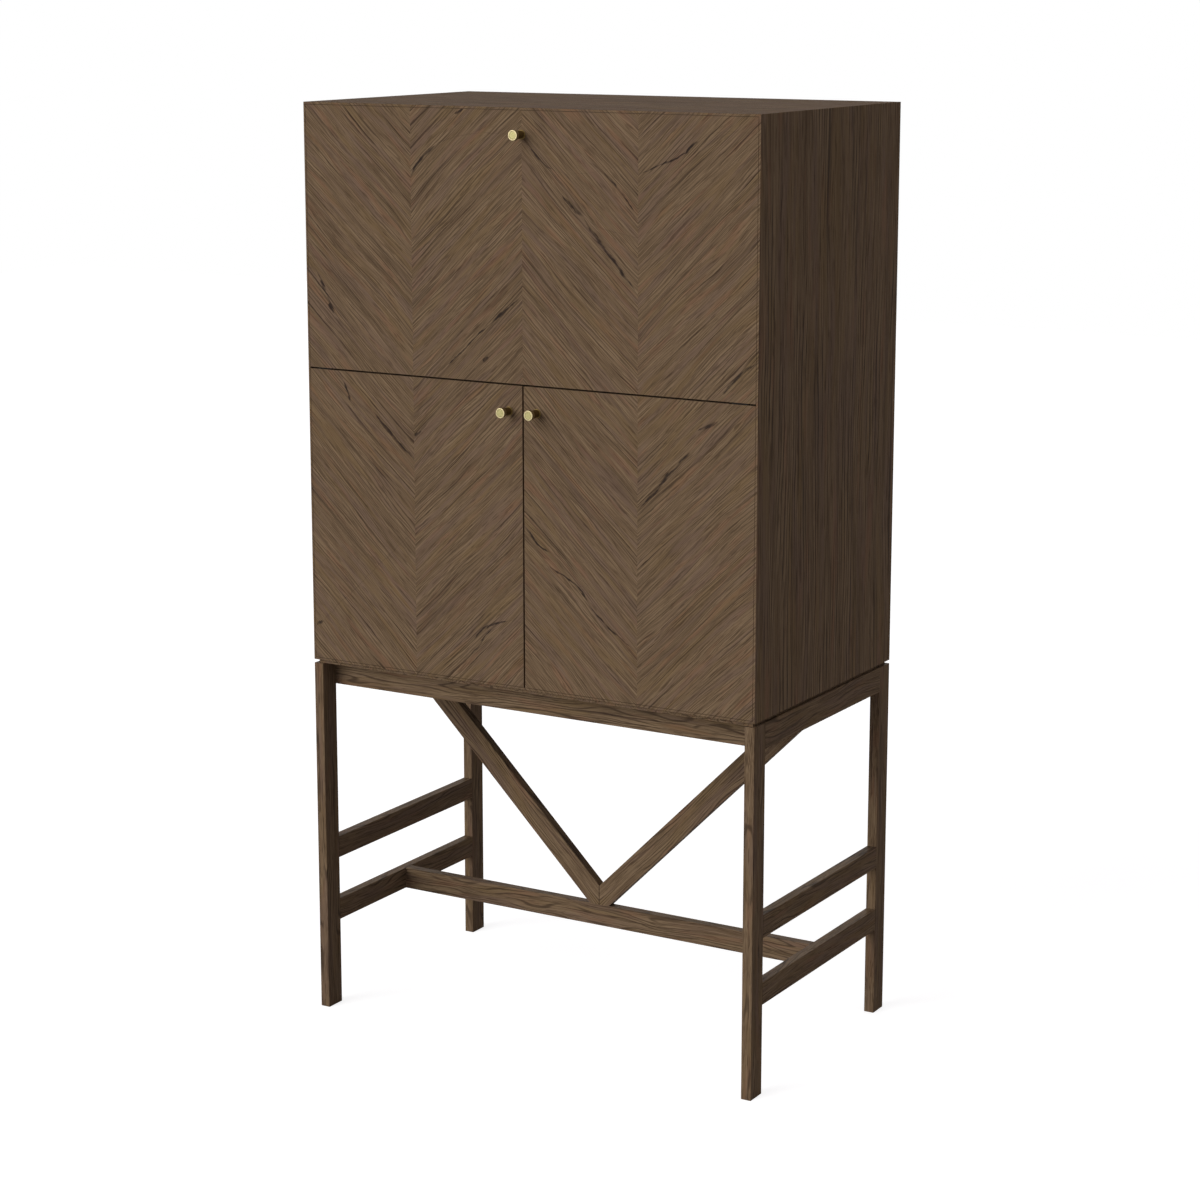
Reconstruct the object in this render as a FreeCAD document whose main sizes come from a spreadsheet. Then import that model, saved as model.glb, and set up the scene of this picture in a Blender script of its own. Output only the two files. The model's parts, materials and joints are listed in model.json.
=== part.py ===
import FreeCAD, Part
import os
import re

import Sketcher
from FreeCAD import Rotation, Vector

# Driving dimensions in millimetres.
# The fronts are inset behind narrow lands and turn on pins close behind their faces.
SIZES = {
    "carcass_width": 810,
    "carcass_depth": 474,
    "carcass_height": 900,
    "panel_thickness": 20,
    "panel_rounding": 0.5,
    "back_thickness": 8,
    "back_land": 9,
    "spline_length": 14,
    "spline_thickness": 4,
    "spline_setback": 12,
    "stand_height": 590,
    "member_thickness": 17,
    "member_depth": 36,
    "member_rounding": 1,
    "top_rail_height": 41,
    "upper_rail_bottom": 251,
    "lower_rail_bottom": 143.5,
    "brace_foot": 18.5,
    "shadow_gap": 6,
    "plinth_inset": 6,
    "dowel_diameter": 8,
    "dowel_half": 15,
    "dowel_shallow": 10,
    "dowel_edge": 7.5,
    "bolt_spread": 250,
    "bolt_diameter": 6,
    "bolt_head_diameter": 12,
    "bolt_head_height": 5,
    "bolt_grip": 14,
    "land_width": 3.5,
    "front_gap": 0.5,
    "split_gap": 2.6,
    "front_thickness": 20,
    "front_rounding": 0.4,
    "rebate_clearance": 7,
    "flap_height": 415,
    "batten_depth": 40,
    "batten_overlap": 24,
    "pivot_setback": 3.2,
    "pivot_inset": 16,
    "pin_diameter": 3,
    "pin_clearance": 0.05,
    "pin_engagement": 14,
    "bush_diameter": 4.4,
    "bush_length": 16,
    "bracket_thickness": 1.6,
    "bracket_width": 24,
    "bracket_margin": 2.2,
    "bracket_edge": 1,
    "screw_diameter": 3,
    "screw_head_diameter": 5.6,
    "screw_head_height": 1.5,
    "screw_length": 20,
    "screw_spread": 7,
    "knob_reach": 26,
    "knob_head_diameter": 16,
    "knob_head_length": 7,
    "knob_stem_diameter": 12.5,
    "knob_collar_length": 2,
    "knob_rim": 2,
    "knob_dish": 0.6,
    "knob_rounding": 0.7,
    "flap_knob_drop": 36,
    "door_knob_drop": 40,
    "door_knob_inset": 24,
    "knob_screw_diameter": 4,
    "knob_screw_head_diameter": 8,
    "knob_screw_head_height": 2.5,
    "knob_screw_grip": 9,
    "stay_foot_height": 178,
    "stay_foot_reach": 9,
    "stay_foot_width": 20,
    "stay_foot_half": 18,
    "stay_foot_thickness": 2.5,
    "stay_foot_screw_length": 14,
    "stay_guide_angle": 30,
    "stay_width": 16,
    "stay_thickness": 2.5,
    "stay_side_gap": 3.5,
    "stay_play": 0.4,
    "stay_slot_play": 0.3,
    "stay_pin_diameter": 6,
    "stay_pin_head_diameter": 11,
    "stay_pin_head_height": 1.6,
    "stay_pin_grip": 12,
    "flap_opening_angle": 90,
    "magnet_diameter": 10,
    "magnet_grip": 20,
    "magnet_gap": 0.3,
    "strike_diameter": 12,
    "strike_thickness": 1,
    "strike_stem_diameter": 4,
    "strike_stem_length": 8,
    "flap_magnet_spread": 200,
    "door_magnet_inset": 60,
    "door_magnet_drop": 12,
    "shelf_thickness": 18,
    "shelf_clearance": 1,
    "shelf_setback": 20,
    "shelf_height": 225,
    "shelf_pin_diameter": 5,
    "shelf_pin_half": 9,
    "shelf_pin_inset": 60,
    "back_screw_inset": 50,
}

# Places that follow from the driving dimensions, as expressions on the sheet's cells.
HALF = "carcass_width / 2"
FRONT = "(knob_reach - carcass_depth) / 2"
BACK = "(knob_reach + carcass_depth) / 2"
MIDDLE = "knob_reach / 2"

STAND_INNER = f"({HALF} - member_thickness)"
TOP_RAIL_BOTTOM = "(stand_height - top_rail_height)"
STRETCHER_TOP = "(lower_rail_bottom + member_depth)"
LEG_REAR = f"({FRONT} + member_depth)"
REAR_LEG_FRONT = f"({BACK} - member_depth)"

CARCASS_BOTTOM = "(stand_height + shadow_gap)"
CARCASS_TOP = f"({CARCASS_BOTTOM} + carcass_height)"
INNER_HALF = f"({HALF} - panel_thickness)"
INNER_BOTTOM = f"({CARCASS_BOTTOM} + panel_thickness)"
INNER_TOP = f"({CARCASS_TOP} - panel_thickness)"
LAND_HALF = f"({HALF} - land_width)"
BACK_FRONT = f"({BACK} - back_thickness)"

FRONTS_REAR = f"({FRONT} + front_thickness)"
SHOULDER = f"({FRONTS_REAR} + rebate_clearance)"
FRONTS_HALF = f"({LAND_HALF} - front_gap)"
FLAP_TOP = f"({CARCASS_TOP} - land_width - front_gap)"
FLAP_BOTTOM = f"({FLAP_TOP} - flap_height)"
DOOR_TOP = f"({FLAP_BOTTOM} - split_gap)"
DOOR_BOTTOM = f"({CARCASS_BOTTOM} + land_width + front_gap)"

# The axes of the flap and the doors, and the divider that lies level with the open flap.
PIVOT_Y = f"({FRONT} + pivot_setback)"
FLAP_AXIS_Z = f"({FLAP_BOTTOM} + pivot_inset)"
DOOR_AXIS_X = f"({FRONTS_HALF} - pivot_inset)"
DIVIDER_TOP = f"({FLAP_AXIS_Z} + front_thickness - pivot_setback)"
DIVIDER_BOTTOM = f"({DIVIDER_TOP} - panel_thickness)"
BATTEN_BOTTOM = f"({DOOR_TOP} - batten_overlap)"

RIGHT = Vector(1, 0, 0)
BACKWARD = Vector(0, 1, 0)
FORWARD = Vector(0, -1, 0)
UP = Vector(0, 0, 1)
DOWN = Vector(0, 0, -1)
SIDES = (("left", -1), ("right", 1))

doc = FreeCAD.newDocument("bar_cabinet")
sheet = doc.addObject("Spreadsheet::Sheet", "Sizes")
for row, (size_name, size_value) in enumerate(SIZES.items(), 1):
    sheet.set(f"A{row}", size_name)
    sheet.set(f"B{row}", str(size_value))
    sheet.setAlias(f"B{row}", size_name)
doc.recompute()

pieces = []


def formula(text):
    """Points each size that an expression names to its cell of the sheet."""
    return re.sub(r"[a-z_]+", lambda word: f"Sizes.{word[0]}" if word[0] in SIZES else word[0], text)


def bind(item, **properties):
    """Binds properties to expressions; a double underscore stands for the dot of a nested one."""
    for name, text in properties.items():
        item.setExpression(name.replace("__", "."), formula(text))
    return item


def put(item, place, turn=None):
    """Places an object at three expressions, after an optional fixed turn."""
    if turn:
        item.Placement = FreeCAD.Placement(Vector(), turn)
    x, y, z = place
    return bind(item, Placement__Base__x=x, Placement__Base__y=y, Placement__Base__z=z)


def keep(item, label):
    """Names a finished piece, which is written to its own file."""
    item.Label = label
    pieces.append(item)
    return item


def box(x, y, z):
    """A block between a low and a high expression along each axis."""
    block = doc.addObject("Part::Box", "Block")
    low_corner = [span[0] for span in (x, y, z)]
    length, width, height = [f"({high}) - ({low})" for low, high in (x, y, z)]
    bind(block, Length=length, Width=width, Height=height)
    return put(block, low_corner)


def rod(start, direction, length, diameter):
    """A round bar from a start point along a direction."""
    bar = doc.addObject("Part::Cylinder", "Bar")
    bind(bar, Radius=f"({diameter}) / 2", Height=length)
    return put(bar, start, Rotation(UP, direction))


def cone(start, direction, length, first_diameter, last_diameter):
    """A tapered round bar from a start point along a direction."""
    taper = doc.addObject("Part::Cone", "Taper")
    bind(taper, Radius1=f"({first_diameter}) / 2", Radius2=f"({last_diameter}) / 2", Height=length)
    return put(taper, start, Rotation(UP, direction))


def join(*parts):
    """One solid of several that touch or overlap."""
    union = doc.addObject("Part::MultiFuse", "Union")
    union.Shapes = list(parts)
    union.Refine = True
    return union


def group(parts):
    """Like pieces that share one node as separate solids."""
    bundle = doc.addObject("Part::Compound", "Bundle")
    bundle.Links = list(parts)
    return bundle


def carve(blank, *tools):
    """Takes the shape of each tool out of a blank, which leaves its seat or bore."""
    for tool in tools:
        cut = doc.addObject("Part::Cut", "Carved")
        cut.Base = blank
        cut.Tool = tool
        blank = cut
    return blank


def outline(body, plane, corners):
    """A closed sketch on one of the body's planes, with each corner held by two expressions."""
    sketch = body.newObject("Sketcher::SketchObject", "Outline")
    support = next(item for item in body.Origin.OriginFeatures if item.Role == plane)
    sketch.AttachmentSupport = [(support, "")]
    sketch.MapMode = "FlatFace"
    count = len(corners)
    rough = [Rotation(UP, 360 * step / count).multVec(RIGHT) for step in range(count)]
    for step in range(count):
        sketch.addGeometry(Part.LineSegment(rough[step], rough[(step + 1) % count]))
    for step in range(count):
        sketch.addConstraint(Sketcher.Constraint("Coincident", step, 2, (step + 1) % count, 1))
    for step, place in enumerate(corners):
        for kind, text in zip(("DistanceX", "DistanceY"), place):
            index = sketch.addConstraint(Sketcher.Constraint(kind, step, 1, 1.0))
            sketch.setExpression(f"Constraints[{index}]", formula(text))
    return sketch


def soften(body, base, chosen, radius):
    """Rounds the straight edges of a feature whose direction is chosen."""
    doc.recompute()
    straight = [
        (number, edge.tangentAt(edge.FirstParameter))
        for number, edge in enumerate(base.Shape.Edges, 1)
        if edge.Curve.TypeId == "Part::GeomLine"
    ]
    rounding = body.newObject("PartDesign::Fillet", "Rounding")
    rounding.Base = (base, [f"Edge{number}" for number, direction in straight if chosen(direction)])
    bind(rounding, Radius=radius)


def prism(plane, corners, low, high, chosen=None, radius="member_rounding"):
    """A board cut to an outline and padded from one expression to another across its plane."""
    body = doc.addObject("PartDesign::Body", "Board")
    pad = body.newObject("PartDesign::Pad", "Thickness")
    pad.Profile = outline(body, plane, corners)
    pad.Reversed = plane == "XZ_Plane"
    bind(pad, Length=f"({high}) - ({low})")
    if chosen:
        soften(body, pad, chosen, radius)
    across = {"XY_Plane": "z", "XZ_Plane": "y", "YZ_Plane": "x"}[plane]
    return bind(body, **{f"Placement__Base__{across}": low})


def rectangle(first, second):
    """The corners of a rectangle between a low and a high expression each way."""
    (left, right), (bottom, top) = first, second
    return [(left, bottom), (right, bottom), (right, top), (left, top)]


# Which way an edge runs, from its unit direction.
def along_x(direction):
    return round(abs(direction.x), 2) == 1


def along_y(direction):
    return round(abs(direction.y), 2) == 1


def along_z(direction):
    return round(abs(direction.z), 2) == 1


def across_y(direction):
    return round(direction.y, 2) == 0


def slanted(direction):
    return round(direction.x, 2) != 0 and round(direction.z, 2) != 0


def mirrored(sign, low, high):
    """A span to the right of the centre plane, or its mirror image to the left."""
    return (low, high) if sign > 0 else (f"-({high})", f"-({low})")


def countersunk(start, direction, length):
    """A wood screw whose flat head starts at the given point."""
    head = cone(start, direction, "screw_head_height", "screw_head_diameter", "screw_diameter")
    return join(head, rod(start, direction, length, "screw_diameter"))


# Dowels of the stand: in the ends of the side rails, the cross rails, the stretcher and the braces.
RAILS = {
    "top": (TOP_RAIL_BOTTOM, "stand_height"),
    "upper": ("upper_rail_bottom", "upper_rail_bottom + member_depth"),
    "lower": ("lower_rail_bottom", STRETCHER_TOP),
}
TOP_RAIL_CENTRE = f"({TOP_RAIL_BOTTOM} + top_rail_height / 2)"
STRETCHER_CENTRE = "(lower_rail_bottom + member_depth / 2)"
CROSS_RAILS = {
    "front": (LEG_REAR, f"{LEG_REAR} + member_thickness"),
    "rear": (f"{REAR_LEG_FRONT} - member_thickness", REAR_LEG_FRONT),
}
STRETCHER_DEPTH = (f"{MIDDLE} - member_thickness / 2", f"{MIDDLE} + member_thickness / 2")


def side_rail_dowels():
    """Two dowels at each end of each side rail, lengthwise, into the legs."""
    for name, sign in SIDES:
        for low, high in RAILS.values():
            for joint in (LEG_REAR, REAR_LEG_FRONT):
                for step in (-1, 1):
                    x = f"{sign} * ({HALF} - member_thickness / 2)"
                    half_height = f"(({high}) - ({low})) / 2"
                    z = f"({low}) + {half_height} + {step} * ({half_height} - dowel_edge)"
                    start = (x, f"{joint} - dowel_half", z)
                    yield rod(start, BACKWARD, "2 * dowel_half", "dowel_diameter")


def cross_dowels():
    """Dowels from the cross rails, the stretcher and the braces into the side rails."""
    seats = [(f"{low} + member_thickness / 2", TOP_RAIL_CENTRE) for low, high in CROSS_RAILS.values()]
    for step in (-1, 1):
        seats.append((MIDDLE, f"{STRETCHER_CENTRE} + {step} * (member_depth / 2 - dowel_edge)"))
    seats.append((MIDDLE, TOP_RAIL_CENTRE))
    for name, sign in SIDES:
        for y, z in seats:
            start = (f"{sign} * ({STAND_INNER} + dowel_shallow)", y, z)
            yield rod(start, RIGHT * -sign, "dowel_shallow + dowel_half", "dowel_diameter")
        foot = (f"{sign} * brace_foot / 2", MIDDLE, f"{STRETCHER_TOP} - dowel_half")
        yield rod(foot, UP, "2 * dowel_half", "dowel_diameter")


frame_dowels = keep(group([*side_rail_dowels(), *cross_dowels()]), "frame_dowels")

# Bolts from below through the front and rear top rails and the plinth into the bottom panel.
bolts = []
for rail_name, (low, high) in CROSS_RAILS.items():
    for side, sign in SIDES:
        start = (f"{sign} * bolt_spread", f"{low} + member_thickness / 2", TOP_RAIL_BOTTOM)
        shank_length = "top_rail_height + shadow_gap + bolt_grip"
        bolt_head = rod(start, UP, "bolt_head_height", "bolt_head_diameter")
        bolts.append(join(bolt_head, rod(start, UP, shank_length, "bolt_diameter")))
stand_bolts = keep(group(bolts), "stand_bolts")

# Legs and rails of the two side frames.
for side, sign in SIDES:
    thickness_span = mirrored(sign, STAND_INNER, HALF)
    for end, depth_span in (("front", (FRONT, LEG_REAR)), ("rear", (REAR_LEG_FRONT, BACK))):
        leg = prism("XY_Plane", rectangle(thickness_span, depth_span), "0", "stand_height", along_z)
        keep(carve(leg, frame_dowels), f"{end}_{side}_leg")
    for level, height_span in RAILS.items():
        section = rectangle(thickness_span, height_span)
        rail = prism("XZ_Plane", section, LEG_REAR, REAR_LEG_FRONT, along_y)
        keep(carve(rail, frame_dowels), f"{side}_{level}_rail")

# Cross rails behind the front legs and before the rear ones, and the stretcher at mid depth.
STAND_SPAN = (f"-{STAND_INNER}", STAND_INNER)
for end, depth_span in CROSS_RAILS.items():
    rail = prism("YZ_Plane", rectangle(depth_span, RAILS["top"]), *STAND_SPAN, along_x)
    keep(carve(rail, frame_dowels, stand_bolts), f"{end}_top_rail")
stretcher = prism("YZ_Plane", rectangle(STRETCHER_DEPTH, RAILS["lower"]), *STAND_SPAN, along_x)
keep(carve(stretcher, frame_dowels), "centre_stretcher")

# Braces of the V: mitred on the stretcher's centre, and up to the inner faces of the side top rails.
BRACE_RUN = f"({STAND_INNER} - brace_foot)"
BRACE_RISE = f"({TOP_RAIL_BOTTOM} - {STRETCHER_TOP})"
BRACE_HEIGHT = f"(member_depth * sqrt({BRACE_RUN} ^ 2 + {BRACE_RISE} ^ 2) / {BRACE_RUN})"
MITRE_TOP = f"({STRETCHER_TOP} + {BRACE_HEIGHT} - brace_foot * {BRACE_RISE} / {BRACE_RUN})"
BRACE_TIP = f"((stand_height - {MITRE_TOP}) * {BRACE_RUN} / {BRACE_RISE})"
for side, sign in SIDES:
    brace_corners = [
        ("0", STRETCHER_TOP),
        (f"{sign} * brace_foot", STRETCHER_TOP),
        (f"{sign} * {STAND_INNER}", TOP_RAIL_BOTTOM),
        (f"{sign} * {STAND_INNER}", "stand_height"),
        (f"{sign} * {BRACE_TIP}", "stand_height"),
        ("0", MITRE_TOP),
    ]
    brace = prism("XZ_Plane", brace_corners, *STRETCHER_DEPTH, slanted)
    keep(carve(brace, frame_dowels), f"{side}_brace")

# Plinth strips that hold the cabinet off the stand, set in all round as a shadow gap.
PLINTH_FRONT = f"({FRONT} + plinth_inset)"
PLINTH_BACK = f"({BACK} - plinth_inset)"
PLINTH_HALF = f"({HALF} - plinth_inset)"
PLINTH_HEIGHT = ("stand_height", CARCASS_BOTTOM)
plinth_width_span = (f"-{PLINTH_HALF}", PLINTH_HALF)
FRONT_STRIP_REAR = CROSS_RAILS["front"][1]
REAR_STRIP_FRONT = CROSS_RAILS["rear"][0]
front_strip = box(plinth_width_span, (PLINTH_FRONT, FRONT_STRIP_REAR), PLINTH_HEIGHT)
keep(carve(front_strip, stand_bolts), "front_plinth")
rear_strip = box(plinth_width_span, (REAR_STRIP_FRONT, PLINTH_BACK), PLINTH_HEIGHT)
keep(carve(rear_strip, stand_bolts), "rear_plinth")
for side, sign in SIDES:
    strip_span = mirrored(sign, f"{HALF} - member_depth", PLINTH_HALF)
    keep(box(strip_span, (FRONT_STRIP_REAR, REAR_STRIP_FRONT), PLINTH_HEIGHT), f"{side}_plinth")

# Pivot brackets: a leaf beside the front's edge carries the pin, a base is screwed to the carcass.
BASE_DEPTH = (SHOULDER, f"{SHOULDER} + bracket_thickness")
LEAF_DEPTH = (f"{PIVOT_Y} - bracket_margin", SHOULDER)
FULL_DEPTH = (LEAF_DEPTH[0], BASE_DEPTH[1])
LOWER_LEAF_TOP = f"({CARCASS_BOTTOM} + land_width)"
LOWER_LEAF = (f"{LOWER_LEAF_TOP} - bracket_thickness", LOWER_LEAF_TOP)
UPPER_LEAF_BOTTOM = f"({DOOR_TOP} + (split_gap - bracket_thickness) / 2)"
UPPER_LEAF = (UPPER_LEAF_BOTTOM, f"{UPPER_LEAF_BOTTOM} + bracket_thickness")
FLAP_LEAF_OUTER = f"({LAND_HALF} + bracket_thickness)"
brackets = {"flap": [], "lower_door": [], "upper_door": []}
bracket_screws = []
pins = []
for side, sign in SIDES:
    flap_height_span = (f"{FLAP_AXIS_Z} - bracket_width / 2", f"{FLAP_AXIS_Z} + bracket_width / 2")
    flap_leaf = box(mirrored(sign, LAND_HALF, FLAP_LEAF_OUTER), FULL_DEPTH, flap_height_span)
    flap_base_span = mirrored(sign, f"{INNER_HALF} + bracket_edge", FLAP_LEAF_OUTER)
    flap_base = box(flap_base_span, BASE_DEPTH, flap_height_span)
    brackets["flap"].append(join(flap_leaf, flap_base))
    flap_screw_x = f"{sign} * ({INNER_HALF} + {LAND_HALF}) / 2"
    for step in (-1, 1):
        start = (flap_screw_x, SHOULDER, f"{FLAP_AXIS_Z} + {step} * screw_spread")
        bracket_screws.append(countersunk(start, BACKWARD, "screw_length"))
    pin_start = (f"{sign} * {FLAP_LEAF_OUTER}", PIVOT_Y, FLAP_AXIS_Z)
    pin_reach = "bracket_thickness + front_gap + pin_engagement"
    pins.append(rod(pin_start, RIGHT * -sign, pin_reach, "pin_diameter"))

    leaf_span = mirrored(sign, f"{INNER_HALF} - bracket_width", f"{DOOR_AXIS_X} + bracket_margin")
    base_span = mirrored(sign, f"{INNER_HALF} - bracket_width", INNER_HALF)
    lower_base = box(base_span, BASE_DEPTH, (LOWER_LEAF[0], f"{INNER_BOTTOM} - bracket_edge"))
    brackets["lower_door"].append(join(box(leaf_span, LEAF_DEPTH, LOWER_LEAF), lower_base))
    upper_base = box(base_span, BASE_DEPTH, (UPPER_LEAF[0], f"{DIVIDER_TOP} - bracket_edge"))
    brackets["upper_door"].append(join(box(leaf_span, LEAF_DEPTH, UPPER_LEAF), upper_base))
    lower_screw_z = f"(({LOWER_LEAF_TOP}) + ({INNER_BOTTOM})) / 2"
    upper_screw_z = f"({DIVIDER_TOP} - panel_thickness / 2)"
    for z in (lower_screw_z, upper_screw_z):
        for step in (-1, 1):
            x = f"{sign} * ({INNER_HALF} - bracket_width / 2 + {step} * screw_spread)"
            bracket_screws.append(countersunk((x, SHOULDER, z), BACKWARD, "screw_length"))
    door_axis = f"{sign} * {DOOR_AXIS_X}"
    lower_reach = "bracket_thickness + front_gap + pin_engagement"
    pins.append(rod((door_axis, PIVOT_Y, LOWER_LEAF[0]), UP, lower_reach, "pin_diameter"))
    upper_reach = "(split_gap + bracket_thickness) / 2 + pin_engagement"
    pins.append(rod((door_axis, PIVOT_Y, UPPER_LEAF[1]), DOWN, upper_reach, "pin_diameter"))
pivot_pins = keep(group(pins), "pivot_pins")
bracket_screws = keep(group(bracket_screws), "bracket_screws")
for name, pair in brackets.items():
    keep(carve(group(pair), pivot_pins, bracket_screws), f"{name}_brackets")
flap_brackets, lower_brackets, upper_brackets = pieces[-3:]

# Guide pins of the stays: shoulder pins in the side panels, on the circle that the feet travel.
STAY_FOOT_Y = f"({FRONTS_REAR} + stay_foot_reach)"
STAY_FOOT_Z = f"({FLAP_AXIS_Z} + stay_foot_height)"
STAY_ARM_Y = "(front_thickness - pivot_setback + stay_foot_reach)"
STAY_RADIUS = f"sqrt({STAY_ARM_Y} ^ 2 + stay_foot_height ^ 2)"
STAY_GUIDE_Y = f"({PIVOT_Y} + {STAY_RADIUS} * sin(stay_guide_angle))"
STAY_GUIDE_Z = f"({FLAP_AXIS_Z} + {STAY_RADIUS} * cos(stay_guide_angle))"
STAY_OUTER = f"({INNER_HALF} - stay_side_gap)"
STAY_INNER = f"({STAY_OUTER} - stay_thickness)"
FOOT_OUTER = f"({STAY_INNER} - stay_play)"
FOOT_INNER = f"({FOOT_OUTER} - stay_foot_thickness)"
guide_pins = []
for side, sign in SIDES:
    guide_start = (f"{sign} * ({INNER_HALF} + stay_pin_grip)", STAY_GUIDE_Y, STAY_GUIDE_Z)
    shank_length = "stay_pin_grip + stay_side_gap + stay_thickness + stay_play + stay_pin_head_height"
    shank = rod(guide_start, RIGHT * -sign, shank_length, "stay_pin_diameter")
    head_start = (f"{sign} * ({STAY_INNER} - stay_play)", STAY_GUIDE_Y, STAY_GUIDE_Z)
    head = rod(head_start, RIGHT * -sign, "stay_pin_head_height", "stay_pin_head_diameter")
    collar_start = (f"{sign} * {INNER_HALF}", STAY_GUIDE_Y, STAY_GUIDE_Z)
    collar_length = "stay_side_gap - stay_play"
    collar = rod(collar_start, RIGHT * -sign, collar_length, "stay_pin_head_diameter")
    guide_pins.append(join(shank, head, collar))
stay_guides = keep(group(guide_pins), "stay_guides")

# Loose splines across the four mitred corners of the carcass.
SPLINE_LONG = "(spline_length / 2 / sqrt(2))"
SPLINE_WIDE = "(spline_thickness / 2 / sqrt(2))"
SPLINE_SPAN = (f"{SHOULDER} + spline_setback", f"{BACK_FRONT} - spline_setback")
splines = []
for side, sign in SIDES:
    centre_x = f"({HALF} - panel_thickness / 2)"
    for centre_z, lift in ((f"({CARCASS_BOTTOM} + panel_thickness / 2)", 1),
                           (f"({CARCASS_TOP} - panel_thickness / 2)", -1)):
        spline_corners = [
            (f"{sign} * ({centre_x} + {long} * {SPLINE_LONG} + {wide} * {SPLINE_WIDE})",
             f"{centre_z} + {lift} * ({long} * {SPLINE_LONG} - {wide} * {SPLINE_WIDE})")
            for long, wide in ((1, 1), (1, -1), (-1, -1), (-1, 1))
        ]
        splines.append(prism("XZ_Plane", spline_corners, *SPLINE_SPAN))
corner_splines = keep(group(splines), "corner_splines")

# Dowels between the divider and the side panels, and the shelf's pins.
divider_dowels = []
shelf_pins = []
SHELF_BOTTOM = f"({INNER_BOTTOM} + shelf_height)"
for side, sign in SIDES:
    dowel_x = f"{sign} * ({INNER_HALF} + dowel_shallow)"
    dowel_z = f"({DIVIDER_TOP} - panel_thickness / 2)"
    for y in (f"{SHOULDER} + shelf_pin_inset", MIDDLE, f"{BACK_FRONT} - shelf_pin_inset"):
        reach = "dowel_shallow + dowel_half"
        divider_dowels.append(rod((dowel_x, y, dowel_z), RIGHT * -sign, reach, "dowel_diameter"))
    for y in (f"{SHOULDER} + shelf_pin_inset", f"{BACK_FRONT} - shelf_pin_inset"):
        pin_x = f"{sign} * ({INNER_HALF} + shelf_pin_half)"
        pin_start = (pin_x, y, f"{SHELF_BOTTOM} - shelf_pin_diameter / 2")
        shelf_pins.append(rod(pin_start, RIGHT * -sign, "2 * shelf_pin_half", "shelf_pin_diameter"))
divider_dowels = keep(group(divider_dowels), "divider_dowels")
shelf_pins = keep(group(shelf_pins), "shelf_pins")

# Screws of the back panel, down both sides.
back_screws = []
BACK_SCREW_LOW = f"({CARCASS_BOTTOM} + back_screw_inset)"
BACK_SCREW_RANGE = "(carcass_height - 2 * back_screw_inset)"
BACK_SCREW_ROWS = 4
for side, sign in SIDES:
    x = f"{sign} * ({HALF} - (back_land + panel_thickness) / 2)"
    for step in range(BACK_SCREW_ROWS):
        z = f"{BACK_SCREW_LOW} + {BACK_SCREW_RANGE} * {step} / {BACK_SCREW_ROWS - 1}"
        back_screws.append(countersunk((x, BACK, z), FORWARD, "screw_length"))
back_screws = keep(group(back_screws), "back_screws")

# Round magnets of the catches: two in the top panel's shoulder, two in the batten.
MAGNET_FRONT = f"({FRONTS_REAR} + strike_thickness + magnet_gap)"
MAGNET_LENGTH = f"{SHOULDER} - {MAGNET_FRONT} + magnet_grip"
FLAP_MAGNET_Z = f"({CARCASS_TOP} - (land_width + panel_thickness) / 2)"
DOOR_MAGNET_Z = f"({DOOR_TOP} - door_magnet_drop)"
DOOR_MAGNET_X = "(split_gap / 2 + door_magnet_inset)"
magnets = []
for side, sign in SIDES:
    for x, z in (("flap_magnet_spread", FLAP_MAGNET_Z), (DOOR_MAGNET_X, DOOR_MAGNET_Z)):
        start = (f"{sign} * {x}", MAGNET_FRONT, z)
        magnets.append(rod(start, BACKWARD, MAGNET_LENGTH, "magnet_diameter"))
catch_magnets = keep(group(magnets), "catch_magnets")

# Carcass: four mitred panels, rebated at the front for the fronts and at the rear for the back.
front_opening = box(
    (f"-{LAND_HALF}", LAND_HALF),
    (FRONT, SHOULDER),
    (f"{CARCASS_BOTTOM} + land_width", f"{CARCASS_TOP} - land_width"),
)
BACK_SPAN = (f"-({HALF} - back_land)", f"{HALF} - back_land")
BACK_HEIGHT = (f"{CARCASS_BOTTOM} + back_land", f"{CARCASS_TOP} - back_land")
back_board = box(BACK_SPAN, (BACK_FRONT, BACK), BACK_HEIGHT)
for side, sign in SIDES:
    side_corners = [
        (f"{sign} * {HALF}", CARCASS_BOTTOM),
        (f"{sign} * {HALF}", CARCASS_TOP),
        (f"{sign} * {INNER_HALF}", INNER_TOP),
        (f"{sign} * {INNER_HALF}", INNER_BOTTOM),
    ]
    side_board = prism("XZ_Plane", side_corners, FRONT, BACK, along_z, "panel_rounding")
    fittings = (flap_brackets, bracket_screws, pivot_pins, stay_guides, divider_dowels, shelf_pins)
    side_panel = carve(side_board, front_opening, back_board, back_screws, corner_splines, *fittings)
    keep(side_panel, f"{side}_side_panel")

for name, outer, inner in (("bottom", CARCASS_BOTTOM, INNER_BOTTOM), ("top", CARCASS_TOP, INNER_TOP)):
    level_corners = [(f"-{HALF}", outer), (HALF, outer), (INNER_HALF, inner), (f"-{INNER_HALF}", inner)]
    level_board = prism("XZ_Plane", level_corners, FRONT, BACK, along_x, "panel_rounding")
    fittings = (lower_brackets, bracket_screws, pivot_pins, stand_bolts, catch_magnets)
    keep(carve(level_board, front_opening, back_board, corner_splines, *fittings), f"{name}_panel")

keep(carve(back_board, back_screws), "back_panel")

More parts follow.
